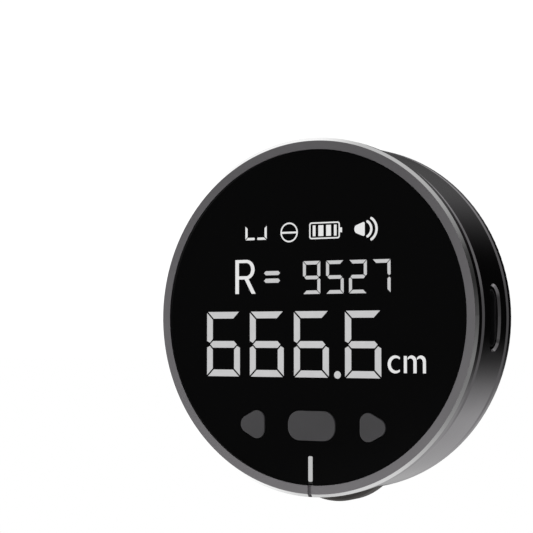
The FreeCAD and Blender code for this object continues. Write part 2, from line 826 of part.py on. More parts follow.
def make_mid_body():
    body = new_body("mid_body")
    turn(body, [("band_socket_bore", "collar_front"),
                ("collar_radius", "collar_front"),
                ("collar_radius", "band_front"),
                ("lip_radius", "band_front"),
                ("puck_radius", "band_front + lip_length"),
                ("puck_radius", "band_back"),
                ("band_bore", "band_back"),
                ("band_bore", "band_socket_depth"),
                ("band_socket_bore", "band_socket_depth")])
    cut_wheel_well(body)
    opening = side_sketch(body, "puck_radius + fit_gap")
    socket_outline(opening, "opening_spread", "opening_radius")
    hole = extrude(body, "Pocket", opening, "opening_reach", False)
    reach = number("opening_spread + opening_radius - socket_up")
    nearest = math.sqrt(number("puck_radius") ** 2 - reach ** 2) - TOUCH
    rim = edges_where(hole, lambda box: box.XMin > nearest and box.ZLength < 2 * reach)
    dress(body, "Chamfer", hole, rim, "Size", "opening_edge")


def make_rear_gasket():
    disc("rear_gasket", "cover_lip_radius", "band_back", "band_back + gasket_thickness", hole="gasket_bore")


def make_rear_cover():
    body = new_body("rear_cover")
    shell = turn(body, [("0", "cover_inside"),
                        ("spigot_bore", "cover_inside"),
                        ("spigot_bore", "spigot_front"),
                        ("spigot_radius", "spigot_front"),
                        ("spigot_radius", "cover_front"),
                        ("cover_lip_radius", "cover_front"),
                        ("puck_radius", "cover_lip_back"),
                        ("puck_radius", "cover_back"),
                        ("0", "cover_back")])
    rim = edges_where(shell, lambda box: box.YMin > number("cover_back") - TOUCH
                      and box.XLength > number("puck_radius"))
    dress(body, "Fillet", shell, rim, "Radius", "cover_edge")
    recess = face_sketch(body, "cover_back")
    circle(recess, "pad_radius + fit_gap")
    bore_from_back(body, recess, "pad_front", "cover_back")
    sinks = face_sketch(body, "cover_back")
    holes = face_sketch(body, "cover_screw_head_front")
    for angle in COVER_SCREW_ANGLES:
        circle(sinks, "cover_screw_head + fit_gap", *on_circle("post_circle", angle))
        circle(holes, "cover_screw_radius + fit_gap", *on_circle("post_circle", angle))
    bore_from_back(body, sinks, "cover_screw_head_front", "cover_back")
    bore_from_back(body, holes, "cover_inside", "cover_screw_head_front")
    seat = face_sketch(body, "cover_inside")
    circle(seat, "bush_radius", "0", AXLE_UP)
    bore(body, seat, "cover_inside", "axle_back + axle_end_gap")
    disc("rear_pad", "pad_radius", "pad_front", "puck_depth")


def make_cover_screws():
    body = new_body("cover_screws")
    heads = face_sketch(body, "cover_screw_head_front")
    shanks = face_sketch(body, "cover_screw_front")
    for angle in COVER_SCREW_ANGLES:
        across, up = on_circle("post_circle", angle)
        circle(heads, "cover_screw_head", across, up)
        circle(shanks, "cover_screw_radius", across, up)
    slab(body, heads, "cover_screw_head_front", "cover_screw_head_back")
    slab(body, shanks, "cover_screw_front", "cover_screw_head_front")
    for wide, high in (("drive_length", "drive_width"), ("drive_width", "drive_length")):
        drive = face_sketch(body, "cover_screw_head_back")
        for angle in COVER_SCREW_ANGLES:
            across, up = on_circle("post_circle", angle)
            rectangle(drive, "%s - %s / 2" % (across, wide), "%s - %s / 2" % (up, high),
                      "%s + %s / 2" % (across, wide), "%s + %s / 2" % (up, high))
        bore_from_back(body, drive, "cover_screw_head_back - drive_depth", "cover_screw_head_back")


# ---- Checks and files ----

def check_features():
    """Stop on a failed object, an empty or broken solid, or a cut that removes nothing."""
    for item in doc.Objects:
        if "Invalid" in item.State or "Error" in item.State:
            raise RuntimeError("%s failed: %s" % (item.Label, item.State))
        if item.TypeId == "PartDesign::Pocket" and item.Shape.Volume > item.BaseFeature.Shape.Volume - 0.001:
            raise RuntimeError("%s cuts nothing" % item.Label)
        if item.TypeId == "Sketcher::SketchObject" and not item.FullyConstrained:
            raise RuntimeError("%s is not fully constrained" % item.Label)
    for body in nodes:
        if body.Shape.isNull() or not body.Shape.isValid() or not body.Shape.Solids:
            raise RuntimeError("%s has no valid solid" % body.Label)


def write_parts():
    os.makedirs("parts", exist_ok=True)
    for body in nodes:
        body.Shape.exportStep("parts/%s.step" % body.Label)
        print("%-22s %2d solid(s) %9.2f mm3" % (body.Label, len(body.Shape.Solids), body.Shape.Volume))


make_bezel_ring()
make_front_lens()
for key_name, key_centres, key_corner, key_across in KEYS:
    make_key(key_name, key_centres, key_corner, key_across)
    make_switch(key_name, key_across)
make_display()
make_backlight_frame()
make_backlight_feed()
make_main_pcb()
make_board_parts()
make_buzzer()
make_pcb_screws()
make_usb_socket()
make_battery()
make_battery_leads()
make_chassis()
make_axle_bracket()
make_bearings()
make_wheel()
make_mid_body()
make_rear_gasket()
make_rear_cover()
make_cover_screws()
doc.recompute()
check_features()
write_parts()
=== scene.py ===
import json
import math

import bmesh
import bpy
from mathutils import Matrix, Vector


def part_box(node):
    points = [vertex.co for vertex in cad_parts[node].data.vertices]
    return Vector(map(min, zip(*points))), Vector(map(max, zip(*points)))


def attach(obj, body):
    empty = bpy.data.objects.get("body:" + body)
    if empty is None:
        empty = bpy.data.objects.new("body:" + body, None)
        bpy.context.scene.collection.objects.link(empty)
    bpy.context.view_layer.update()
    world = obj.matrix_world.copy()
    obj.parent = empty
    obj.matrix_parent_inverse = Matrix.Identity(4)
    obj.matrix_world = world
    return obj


# A rolling digital ruler: a round puck with a glass display face, upright on its measuring wheel.
# Names that end in _MM and the drawings on the display are in millimetres, and MM turns them into
# metres. Places read from the frame, the lamps, the floor and the dome are in metres.

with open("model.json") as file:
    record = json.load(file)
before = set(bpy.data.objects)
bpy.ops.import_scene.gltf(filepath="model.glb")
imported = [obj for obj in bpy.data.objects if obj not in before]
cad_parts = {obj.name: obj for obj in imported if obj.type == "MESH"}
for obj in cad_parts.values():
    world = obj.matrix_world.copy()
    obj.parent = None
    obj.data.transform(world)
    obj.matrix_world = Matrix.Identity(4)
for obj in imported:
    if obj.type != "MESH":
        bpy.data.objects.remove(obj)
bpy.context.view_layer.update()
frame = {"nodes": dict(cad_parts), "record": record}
nodes = frame["nodes"]
MM = 0.001

lens_low, lens_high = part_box("front_lens")
bezel_low, bezel_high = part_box("bezel_ring")
wheel_low, wheel_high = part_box("wheel_tyre")
CENTRE_X = (lens_low.x + lens_high.x) / 2
CENTRE_Z = (lens_low.z + lens_high.z) / 2
GLASS_Y = lens_low.y
FACE_Y = bezel_low.y


# ---- Node helpers ----

def shader_tree(name):
    material = bpy.data.materials.new(name)
    material.use_nodes = True
    tree = material.node_tree
    return material, tree, tree.nodes["Principled BSDF"]


def add(tree, kind, **values):
    """A node with its properties, and its inputs given by name with underscores for spaces."""
    node = tree.nodes.new(kind)
    for key, value in values.items():
        if hasattr(node, key):
            setattr(node, key, value)
        else:
            node.inputs[key.replace("_", " ")].default_value = value
    return node


def link(tree, source, target):
    tree.links.new(source, target)


def ramp(tree, factor, low, high, start=0.0, end=1.0):
    """A colour ramp from one grey or colour to another."""
    node = tree.nodes.new("ShaderNodeValToRGB")
    for stop, place, tone in zip(node.color_ramp.elements, (start, end), (low, high)):
        stop.position = place
        stop.color = (*tone, 1) if isinstance(tone, tuple) else (tone, tone, tone, 1)
    link(tree, factor, node.inputs["Fac"])
    return node.outputs["Color"]


def spread(tree, factor, low, high):
    """The factor from 0 to 1 spread between two values."""
    node = add(tree, "ShaderNodeMapRange")
    node.inputs["To Min"].default_value = low
    node.inputs["To Max"].default_value = high
    link(tree, factor, node.inputs["Value"])
    return node.outputs["Result"]


def object_coords(tree):
    return add(tree, "ShaderNodeTexCoord").outputs["Object"]


def noise(tree, vector, scale, detail=3.0, roughness=0.5):
    node = add(tree, "ShaderNodeTexNoise", Scale=scale, Detail=detail, Roughness=roughness)
    link(tree, vector, node.inputs["Vector"])
    return node.outputs["Fac"]


def bump(tree, height, strength, distance_mm):
    node = add(tree, "ShaderNodeBump", Strength=strength, Distance=distance_mm * MM)
    link(tree, height, node.inputs["Height"])
    return node.outputs["Normal"]


def about_axis(tree, centre):
    """Where a point lies about an axis along Y: its direction from it, its distance and its depth."""
    offset = add(tree, "ShaderNodeVectorMath", operation="SUBTRACT")
    offset.inputs[1].default_value = centre
    link(tree, object_coords(tree), offset.inputs[0])
    apart = add(tree, "ShaderNodeSeparateXYZ")
    link(tree, offset.outputs["Vector"], apart.inputs["Vector"])
    across = add(tree, "ShaderNodeCombineXYZ")
    link(tree, apart.outputs["X"], across.inputs["X"])
    link(tree, apart.outputs["Z"], across.inputs["Y"])
    radius = add(tree, "ShaderNodeVectorMath", operation="LENGTH")
    link(tree, across.outputs["Vector"], radius.inputs[0])
    unit = add(tree, "ShaderNodeVectorMath", operation="NORMALIZE")
    link(tree, across.outputs["Vector"], unit.inputs[0])
    return unit.outputs["Vector"], radius.outputs["Value"], apart.outputs["Y"]


def turned_coords(tree, centre, stretch):
    """Coordinates that change fast with radius and depth, and slowly round the axis."""
    unit, radius, depth = about_axis(tree, centre)
    slow = add(tree, "ShaderNodeVectorMath", operation="SCALE")
    slow.inputs["Scale"].default_value = stretch
    link(tree, unit, slow.inputs[0])
    both = add(tree, "ShaderNodeMath", operation="ADD")
    link(tree, radius, both.inputs[0])
    link(tree, depth, both.inputs[1])
    fast = add(tree, "ShaderNodeCombineXYZ")
    link(tree, both.outputs["Value"], fast.inputs["Z"])
    total = add(tree, "ShaderNodeVectorMath", operation="ADD")
    link(tree, slow.outputs["Vector"], total.inputs[0])
    link(tree, fast.outputs["Vector"], total.inputs[1])
    return total.outputs["Vector"]


# ---- Materials ----

PUCK_AXIS = (CENTRE_X, 0.0, CENTRE_Z)
WHEEL_AXIS = (CENTRE_X, 0.0, (wheel_low.z + wheel_high.z) / 2)
BEZEL_RADIUS = (bezel_high.x - bezel_low.x) / 2
COVER_BACK_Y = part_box("rear_cover")[1].y
# How far in from the bezel's edge and from its face the finishes change, and how far in from the
# cover's back, each with the width of the change.
CHAMFER_WIDTH_MM = 0.49
CHAMFER_DEPTH_MM = 0.36
CHAMFER_BLEND_MM = 0.04
COVER_EDGE_MM = 0.6
COVER_BLEND_MM = 0.1
BLAST_GRAIN_MM = 0.08
# Cells of noise in a metre: slow drifts in tone, lathe rings on metal, and ground rings on the tyre.
CLOUD_SCALE = 90.0
TURNED_SCALE = 9000.0
TYRE_SCALE = 5200.0
TONE_DRIFT = 0.06
SHARP_EDGE_DEGREES = 28


def drift(tone):
    """The darkest and the lightest that a metal's tone gets."""
    return tuple(c * (1 - TONE_DRIFT) for c in tone), tuple(c * (1 + TONE_DRIFT) for c in tone)


def turned_metal(name, tone, roughness, spread_by, groove_mm):
    """Metal turned on a lathe: fine rings in its roughness and surface."""
    material, tree, skin = shader_tree(name)
    rings = noise(tree, turned_coords(tree, PUCK_AXIS, 0.0004), TURNED_SCALE, 4.0, 0.6)
    cloud = noise(tree, object_coords(tree), CLOUD_SCALE, 2.0)
    low, high = drift(tone)
    link(tree, ramp(tree, cloud, low, high, 0.3, 0.7), skin.inputs["Base Color"])
    uneven = spread(tree, rings, roughness - spread_by, roughness + spread_by)
    link(tree, uneven, skin.inputs["Roughness"])
    link(tree, bump(tree, rings, 0.35, groove_mm), skin.inputs["Normal"])
    skin.inputs["Metallic"].default_value = 1.0
    return material


def anodised(tone):
    """The grey of the dark anodised parts, a little violet."""
    return (tone, 0.965 * tone, 1.005 * tone)


def takes_over(tree, value, start_mm, width_mm):
    """0 where one finish ends, 1 where the next has taken over, by distance from the axis or by depth."""
    change = add(tree, "ShaderNodeMapRange")
    change.inputs["From Min"].default_value = start_mm * MM
    change.inputs["From Max"].default_value = (start_mm + width_mm) * MM
    link(tree, value, change.inputs["Value"])
    return change.outputs["Result"]


def mixed(tree, kind, factor, first, second):
    """The first at a factor of 0 and the second at 1, for numbers or colours."""
    node = add(tree, "ShaderNodeMix", data_type=kind)
    for name, source in (("Factor", factor), ("A", first), ("B", second)):
        link(tree, source, node.inputs[name])
    return node.outputs["Result"]


def bezel_metal():
    """The bezel: a finely blasted face, a bright cut chamfer and a polished, anodised side."""
    material, tree, skin = shader_tree("bezel_metal")
    coords = object_coords(tree)
    grain = noise(tree, coords, 1.0 / (BLAST_GRAIN_MM * MM), 2.0, 0.6)
    cloud = noise(tree, coords, CLOUD_SCALE, 2.0)
    _, radius, depth = about_axis(tree, PUCK_AXIS)
    past_face = takes_over(tree, radius, BEZEL_RADIUS / MM - CHAMFER_WIDTH_MM, CHAMFER_BLEND_MM)
    past_chamfer = takes_over(tree, depth, FACE_Y / MM + CHAMFER_DEPTH_MM, CHAMFER_BLEND_MM)
    face = ramp(tree, cloud, anodised(0.408), anodised(0.448), 0.3, 0.7)
    chamfer = ramp(tree, cloud, 0.67, 0.72, 0.3, 0.7)
    side = ramp(tree, cloud, anodised(0.317), anodised(0.347), 0.3, 0.7)
    edge = mixed(tree, "RGBA", past_chamfer, chamfer, side)
    link(tree, mixed(tree, "RGBA", past_face, face, edge), skin.inputs["Base Color"])
    rough, smooth = spread(tree, grain, 0.34, 0.44), spread(tree, grain, 0.10, 0.14)
    link(tree, mixed(tree, "FLOAT", past_face, rough, smooth), skin.inputs["Roughness"])
    link(tree, bump(tree, grain, 0.15, 0.002), skin.inputs["Normal"])
    skin.inputs["Metallic"].default_value = 1.0
    return material


def cover_metal(tone):
    """The rear cover: polished round its side like the band, finely blasted on its back."""
    material, tree, skin = shader_tree("cover_metal")
    coords = object_coords(tree)
    grain = noise(tree, coords, 1.0 / (BLAST_GRAIN_MM * MM), 2.0, 0.6)
    cloud = noise(tree, coords, CLOUD_SCALE, 2.0)
    depth = about_axis(tree, PUCK_AXIS)[2]
    on_back = takes_over(tree, depth, COVER_BACK_Y / MM - COVER_EDGE_MM, COVER_BLEND_MM)
    low, high = drift(tone)
    link(tree, ramp(tree, cloud, low, high, 0.3, 0.7), skin.inputs["Base Color"])
    smooth, rough = spread(tree, grain, 0.08, 0.14), spread(tree, grain, 0.36, 0.46)
    link(tree, mixed(tree, "FLOAT", on_back, smooth, rough), skin.inputs["Roughness"])
    link(tree, bump(tree, grain, 0.15, 0.002), skin.inputs["Normal"])
    skin.inputs["Metallic"].default_value = 1.0
    return material


def plain_metal(name, tone, roughness):
    """Small bright parts: faint brushing and a little tarnish."""
    material, tree, skin = shader_tree(name)
    coords = object_coords(tree)
    stretch = add(tree, "ShaderNodeMapping")
    stretch.inputs["Scale"].default_value = (1.0, 6.0, 1.0)
    link(tree, coords, stretch.inputs["Vector"])
    grain = noise(tree, stretch.outputs["Vector"], 2500.0, 3.0)
    low = tuple(c * 0.85 for c in tone)
    link(tree, ramp(tree, noise(tree, coords, 400.0), low, tone, 0.3, 0.7), skin.inputs["Base Color"])
    link(tree, spread(tree, grain, roughness * 0.7, roughness * 1.3), skin.inputs["Roughness"])
    link(tree, bump(tree, grain, 0.2, 0.01), skin.inputs["Normal"])
    skin.inputs["Metallic"].default_value = 1.0
    return material


def moulded_plastic(name, tone, roughness, grain_mm=0.08, depth_mm=0.006, specular=0.5, sheen=0.0):
    """Moulded plastic or rubber: a fine spark-eroded grain and a slow drift in tone."""
    material, tree, skin = shader_tree(name)
    coords = object_coords(tree)
    grain = noise(tree, coords, 1.0 / (grain_mm * MM), 2.0, 0.6)
    cloud = noise(tree, coords, 120.0, 3.0)
    low = tuple(c * 0.88 for c in tone)
    high = tuple(min(1.0, c * 1.1) for c in tone)
    link(tree, ramp(tree, cloud, low, high, 0.3, 0.7), skin.inputs["Base Color"])
    link(tree, spread(tree, grain, roughness - 0.06, roughness + 0.06), skin.inputs["Roughness"])
    link(tree, bump(tree, grain, 0.5, depth_mm), skin.inputs["Normal"])
    skin.inputs["Specular IOR Level"].default_value = specular
    skin.inputs["Sheen Weight"].default_value = sheen
    return material


def black_glass():
    """The lens: black and polished, with faint wiped smears and the slightest drift in tone."""
    material, tree, skin = shader_tree("lens_glass")
    coords = object_coords(tree)
    smear = noise(tree, coords, 60.0, 4.0, 0.6)
    tint = noise(tree, coords, 25.0, 2.0)
    link(tree, ramp(tree, tint, (0.0016, 0.0016, 0.0017), (0.0019, 0.0019, 0.0020), 0.3, 0.7),
         skin.inputs["Base Color"])
    link(tree, spread(tree, smear, 0.03, 0.07), skin.inputs["Roughness"])
    skin.inputs["IOR"].default_value = 1.5
    return material


def clear_sheet(name, tone, roughness=0.05):
    material, tree, skin = shader_tree(name)
    haze = noise(tree, object_coords(tree), 300.0, 2.0)
    link(tree, ramp(tree, haze, tuple(c * 0.95 for c in tone), tone), skin.inputs["Base Color"])
    link(tree, spread(tree, haze, roughness, roughness + 0.08), skin.inputs["Roughness"])
    skin.inputs["Transmission Weight"].default_value = 0.85
    skin.inputs["IOR"].default_value = 1.5
    return material


def turned_rubber():
    """The tyre: warm dark rubber with fine rings from grinding."""
    material, tree, skin = shader_tree("tyre_rubber")
    rings = noise(tree, turned_coords(tree, WHEEL_AXIS, 0.0006), TYRE_SCALE, 3.0, 0.6)
    dust = noise(tree, object_coords(tree), 700.0, 4.0, 0.7)
    tone = add(tree, "ShaderNodeMix", data_type="RGBA", blend_type="MULTIPLY")
    tone.inputs["Factor"].default_value = 1.0
    rubber = ramp(tree, rings, (0.026, 0.023, 0.021), (0.060, 0.053, 0.048), 0.3, 0.7)
    link(tree, rubber, tone.inputs["A"])
    link(tree, ramp(tree, dust, 0.8, 1.0, 0.3, 0.7), tone.inputs["B"])
    link(tree, tone.outputs["Result"], skin.inputs["Base Color"])
    link(tree, spread(tree, dust, 0.55, 0.75), skin.inputs["Roughness"])
    link(tree, bump(tree, rings, 0.5, 0.02), skin.inputs["Normal"])
    return material


def solder_mask():
    """The board: green lacquer over faint copper lanes."""
    material, tree, skin = shader_tree("board_laminate")
    lanes = add(tree, "ShaderNodeTexBrick", Scale=900.0, Color1=(0.008, 0.10, 0.04, 1),
                Color2=(0.010, 0.13, 0.05, 1), Mortar=(0.02, 0.20, 0.07, 1))
    lanes.inputs["Mortar Size"].default_value = 0.06
    link(tree, object_coords(tree), lanes.inputs["Vector"])
    link(tree, lanes.outputs["Color"], skin.inputs["Base Color"])
    link(tree, bump(tree, lanes.outputs["Fac"], 0.4, 0.02), skin.inputs["Normal"])
    skin.inputs["Roughness"].default_value = 0.3
    skin.inputs["Coat Weight"].default_value = 0.5
    return material


def lit_ink(name, tone):
    """Display segments and printed marks: a slightly uneven layer, about half of its light its own. On the
    backlit display that glow is real; on the printed marks it is painted light.
    """
    material, tree, skin = shader_tree(name)
    mottle = noise(tree, object_coords(tree), 900.0, 3.0)
    shade = ramp(tree, mottle, tuple(c * 0.48 for c in tone), tuple(c * 0.5 for c in tone), 0.3, 0.7)
    link(tree, shade, skin.inputs["Base Color"])
    link(tree, shade, skin.inputs["Emission Color"])
    link(tree, spread(tree, mottle, 0.45, 0.6), skin.inputs["Roughness"])
    skin.inputs["Specular IOR Level"].default_value = 0.0
    skin.inputs["Emission Strength"].default_value = 1.0
    return material


BAND_TONE = anodised(0.402)
MATERIALS = {
    "bezel_metal": bezel_metal(),
    "band_metal": turned_metal("band_metal", BAND_TONE, 0.11, 0.03, 0.0015),
    "lens_glass": black_glass(),
    "key_plastic": moulded_plastic("key_plastic", (0.0485, 0.0472, 0.0500), 0.50, 0.12, 0.004),
    "tyre_rubber": turned_rubber(),
    "pad_rubber": moulded_plastic("pad_rubber", (0.030, 0.030, 0.031), 0.75, 0.25, 0.03, sheen=0.1),
    "seal_rubber": moulded_plastic("seal_rubber", (0.010, 0.010, 0.010), 0.6),
    "screw_steel": plain_metal("screw_steel", (0.16, 0.16, 0.17), 0.35),
    # The socket's shell is nearly black and barely glossy rather than bright steel: painted shade, so the
    # port's mouth reads as the dark inside of a recess.
    "socket_steel": moulded_plastic("socket_steel", (0.006, 0.006, 0.0065), 0.5, specular=0.15),
    "bright_steel": plain_metal("bright_steel", (0.62, 0.62, 0.63), 0.25),
    "bush_bronze": plain_metal("bush_bronze", (0.60, 0.40, 0.20), 0.35),
    "washer_plastic": moulded_plastic("washer_plastic", (0.80, 0.80, 0.78), 0.45),
    "hub_plastic": moulded_plastic("hub_plastic", (0.045, 0.045, 0.047), 0.4),
    "magnet_ferrite": moulded_plastic("magnet_ferrite", (0.06, 0.06, 0.065), 0.5, 0.05, 0.01),
    "display_glass": clear_sheet("display_glass", (0.80, 0.84, 0.84)),
    "display_film": clear_sheet("display_film", (0.12, 0.12, 0.13), 0.15),
    "light_guide": clear_sheet("light_guide", (0.92, 0.94, 0.96)),
    "frame_white": moulded_plastic("frame_white", (0.82, 0.82, 0.81), 0.5),
    "chassis_plastic": moulded_plastic("chassis_plastic", (0.032, 0.032, 0.034), 0.5),
    "board_laminate": solder_mask(),
    "chip_black": moulded_plastic("chip_black", (0.018, 0.018, 0.018), 0.55, 0.05),
    "part_ceramic": moulded_plastic("part_ceramic", (0.42, 0.31, 0.21), 0.4, 0.05),
    "battery_foil": plain_metal("battery_foil", (0.60, 0.61, 0.62), 0.3),
    "tape_foam": moulded_plastic("tape_foam", (0.75, 0.75, 0.73), 0.8),
    "lead_sleeve": moulded_plastic("lead_sleeve", (0.32, 0.02, 0.02), 0.4),
}
# Nodes whose finish differs from the rest of their slot.
OWN_MATERIALS = {"rear_cover": cover_metal(BAND_TONE)}
segment_ink = lit_ink("segment_ink", (0.61, 0.61, 0.615))
letter_ink = lit_ink("letter_ink", (0.84, 0.84, 0.84))
# The printed index mark and its faint dash glow too: painted light, since they are print on the lens and
# not lit from behind.
mark_ink_painted_glow = lit_ink("mark_ink_painted_glow", (0.55, 0.55, 0.55))
faint_ink_painted_glow = lit_ink("faint_ink_painted_glow", (0.04, 0.04, 0.04))


def dress_nodes():
    """Every CAD node gets its own or its slot's material, and smooth shading between its true edges."""
    for part in frame["record"]["subparts"]:
        node = nodes[part["node"]]
        node.data.materials.clear()
        material = OWN_MATERIALS.get(part["node"], MATERIALS[part["material_slot"]])
        node.data.materials.append(material)
        node.data.shade_smooth()
        node.data.set_sharp_from_angle(angle=math.radians(SHARP_EDGE_DEGREES))


dress_nodes()


# ---- Display graphics, as thin raised layers on the lens ----

INK_MM = 0.012
LAYER_STEP_MM = 0.002
LAYER_COUNT = 4
ARC_HALF_MM = 0.2
# Seven-segment digits: their size and height on the lens, and how thick and how far apart the bars are.
BIG_DIGITS = {"width": 6.25, "bottom": -9.57, "top": 0.89, "middle": -4.39,
              "wide": 1.09, "high": 1.09, "gap": 0.26}
SMALL_DIGITS = {"width": 3.10, "bottom": 3.59, "top": 8.80, "middle": 6.195,
                "wide": 0.52, "high": 0.56, "gap": 0.12}


class Artwork:
    """Flat shapes gathered in one mesh, in millimetres right of and above the puck's centre."""

    def __init__(self, name, material, slot):
        self.name, self.material, self.slot = name, material, slot
        self.mesh = bmesh.new()
        self.layers = 0

    def level(self):
        """The height of the next shape: shapes that cross get slightly different ones."""
        self.layers += 1
        return GLASS_Y - (INK_MM + LAYER_STEP_MM * (self.layers % LAYER_COUNT)) * MM

    def row(self, points, depth):
        return [self.mesh.verts.new((CENTRE_X + x * MM, depth, CENTRE_Z + z * MM)) for x, z in points]

    def polygon(self, points):
        """One filled shape with sides down to the glass."""
        top, low = self.row(points, self.level()), self.row(points, GLASS_Y)
        self.mesh.faces.new(top)
        for i in range(len(top)):
            self.mesh.faces.new((top[i - 1], low[i - 1], low[i], top[i]))

    def strip(self, left, right, closed=False):
        """A stroke between two edges that have the same number of points."""
        top_y = self.level()
        upper_left, upper_right = self.row(left, top_y), self.row(right, top_y)
        lower_left, lower_right = self.row(left, GLASS_Y), self.row(right, GLASS_Y)
        count = len(left)
        for i in range(count if closed else count - 1):
            j = (i + 1) % count
            self.mesh.faces.new((upper_left[i], upper_left[j], upper_right[j], upper_right[i]))
            self.mesh.faces.new((upper_left[j], upper_left[i], lower_left[i], lower_left[j]))
            self.mesh.faces.new((upper_right[i], upper_right[j], lower_right[j], lower_right[i]))
        if not closed:
            for i in (0, count - 1):
                self.mesh.faces.new((upper_left[i], upper_right[i], lower_right[i], lower_left[i]))

    def finish(self):
        bmesh.ops.recalc_face_normals(self.mesh, faces=self.mesh.faces)
        data = bpy.data.meshes.new(self.name)
        self.mesh.to_mesh(data)
        self.mesh.free()
        piece = bpy.data.objects.new(self.name, data)
        bpy.context.scene.collection.objects.link(piece)
        data.materials.append(self.material)
        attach(piece, "housing")


def arc(x, z, across, up, start, end, steps=24):
    """Points on an ellipse about x, z, from one angle in degrees to another."""
    angles = [math.radians(start + (end - start) * i / steps) for i in range(steps + 1)]
    return [(x + across * math.cos(a), z + up * math.sin(a)) for a in angles]


def disc(x, z, radius):
    return arc(x, z, radius, radius, 0, 360, 40)[:-1]


def box(left, bottom, right, top):
    return [(left, bottom), (right, bottom), (right, top), (left, top)]


def rounded_box(left, bottom, right, top, corner):
    points = []
    for x, z, start in ((right, top, 0), (left, top, 90), (left, bottom, 180), (right, bottom, 270)):
        inner_x = x - corner if x == right else x + corner
        inner_z = z - corner if z == top else z + corner
        points += arc(inner_x, inner_z, corner, corner, start, start + 90, 8)
    return points


def mirrored(points, middle):
    return [(2 * middle - x, z) for x, z in points]


# Which of a digit's seven segments are lit: a is the top, then clockwise, g is the middle.
LIT = {"2": "abged", "5": "afgcd", "6": "afgedc", "7": "abc", "9": "abcdfg"}


def digit(art, value, left, width, bottom, top, middle, wide, high, gap):
    """One seven-segment digit, whose bars are cut at 45 degrees with a gap where they meet."""
    right = left + width
    centre = (left + right) / 2
    half = high / 2
    slip = gap * 0.7
    bars = {
        "a": [(left + slip, top), (right - slip, top), (right - high - slip, top - high),
              (left + high + slip, top - high)],
        "d": [(left + high + slip, bottom + high), (right - high - slip, bottom + high),
              (right - slip, bottom), (left + slip, bottom)],
    }
    tip = left + wide / 2 + gap * 0.2
    g_left = [(tip + half, middle - half), (tip, middle), (tip + half, middle + half)]
    bars["g"] = g_left + mirrored(g_left, centre)[::-1]
    upper = [(left, top - slip), (left + wide, top - wide - slip),
             (left + wide, middle + half + gap * 1.2), (left + wide / 2, middle + gap),
             (left, middle + half)]
    lower = [(left, bottom + slip), (left + wide, bottom + wide + slip),
             (left + wide, middle - half - gap * 1.2), (left + wide / 2, middle - gap),
             (left, middle - half)]
    bars["f"], bars["b"] = upper, mirrored(upper, centre)
    bars["e"], bars["c"] = lower, mirrored(lower, centre)
    for name in LIT[value]:
        art.polygon(bars[name])


def make_digits():
    art = Artwork("display_digits", segment_ink, "display_film")
    for left in (-19.41, -11.28, -3.17, 5.93):
        digit(art, "6", left, **BIG_DIGITS)
    art.polygon(disc(4.60, -9.11, 0.59))
    for value, left in zip("9527", (-1.52, 2.62, 6.65, 10.71)):
        digit(art, value, left, **SMALL_DIGITS)
    # Equals sign: two bars with pointed ends.
    left, right = -8.65, -5.69
    for low, high in ((6.70, 7.36), (5.48, 6.16)):
        tip = (high - low) / 2
        art.polygon([(left, low + tip), (left + tip, high), (right - tip, high), (right, low + tip),
                     (right - tip, low), (left + tip, low)])
    art.finish()


def make_letters():
    art = Artwork("display_letters", letter_ink, "display_film")
    # Capital R: a stem, a bowl and a leg.
    foot, head = 3.77, 9.27
    art.polygon(box(-14.02, foot, -13.35, head))
    outer = [(-13.4, head)] + arc(-11.95, 7.69, 1.54, 1.58, 90, -90) + [(-13.4, 6.11)]
    inner = [(-13.4, 8.77)] + arc(-11.95, 7.70, 0.88, 1.07, 90, -90) + [(-13.4, 6.63)]
    art.strip(outer, inner)
    art.polygon([(-12.43, 6.4), (-10.97, foot), (-10.22, foot), (-11.68, 6.4)])
    # Small c.
    art.strip(arc(14.55, -7.39, 1.28, 1.38, 51, 309), arc(14.72, -7.39, 0.92, 0.97, 51, 309))
    # Small m: a stem and two arches.
    foot, spring = -8.71, -6.9
    art.polygon(box(16.00, foot, 16.51, -6.10))
    for left, right, step in ((17.60, 18.13, 0.0), (19.18, 19.68, 1.55)):
        art.polygon(box(left, foot, right, spring))
        art.strip(arc(17.32 + step, spring, 0.81, 0.90, 0, 150),
                  arc(17.1 + step, -6.95, 0.49, 0.50, 0, 150))
    art.finish()


def make_icons():
    art = Artwork("display_icons", letter_ink, "display_film")
    # Open box sign, the same on both sides.
    side = [(-12.13, 14.66), (-11.73, 14.31), (-11.73, 12.95), (-12.13, 12.56)]
    foot = [(-12.04, 12.43), (-11.64, 12.82), (-10.46, 12.82), (-10.34, 12.62), (-10.46, 12.43)]
    for points in (side, foot):
        art.polygon(points)
        art.polygon(mirrored(points, -10.14))
    # Crossed circle.
    art.strip(disc(-4.03, 13.47, 1.58), disc(-4.03, 13.47, 1.34), closed=True)
    art.polygon(box(-5.5, 13.28, -2.56, 13.58))
    # Battery gauge.
    art.strip(rounded_box(-0.38, 12.25, 5.07, 14.91, 0.42), rounded_box(-0.16, 12.47, 4.85, 14.69, 0.20),
              closed=True)
    art.polygon(box(5.05, 13.19, 5.45, 13.96))
    for start, end in ((0.25, 0.74), (1.25, 2.15), (2.64, 3.50), (4.02, 4.49)):
        art.polygon(box(start, 12.70, end, 14.43))
    # Loudspeaker, and two arcs with round ends for its sound.
    centre = 13.57
    art.polygon([(9.41, 12.64), (9.41, 14.51), (9.27, 14.66), (9.05, 14.62), (7.93, 14.2),
                 (7.74, 14.06), (7.63, 13.83), (7.61, 13.58), (7.64, 13.36), (7.76, 13.11),
                 (7.93, 12.97), (9.05, 12.52), (9.27, 12.49)])
    for x, radius, reach in ((9.22, 1.33, 60), (9.5, 1.95, 57)):
        low, high = radius - ARC_HALF_MM, radius + ARC_HALF_MM
        art.strip(arc(x, centre, low, low, -reach, reach), arc(x, centre, high, high, -reach, reach))
        for turn in (-reach, reach):
            angle = math.radians(turn)
            end_x = x + radius * math.cos(angle)
            end_z = centre + radius * math.sin(angle)
            art.polygon(disc(end_x, end_z, ARC_HALF_MM))
    art.finish()


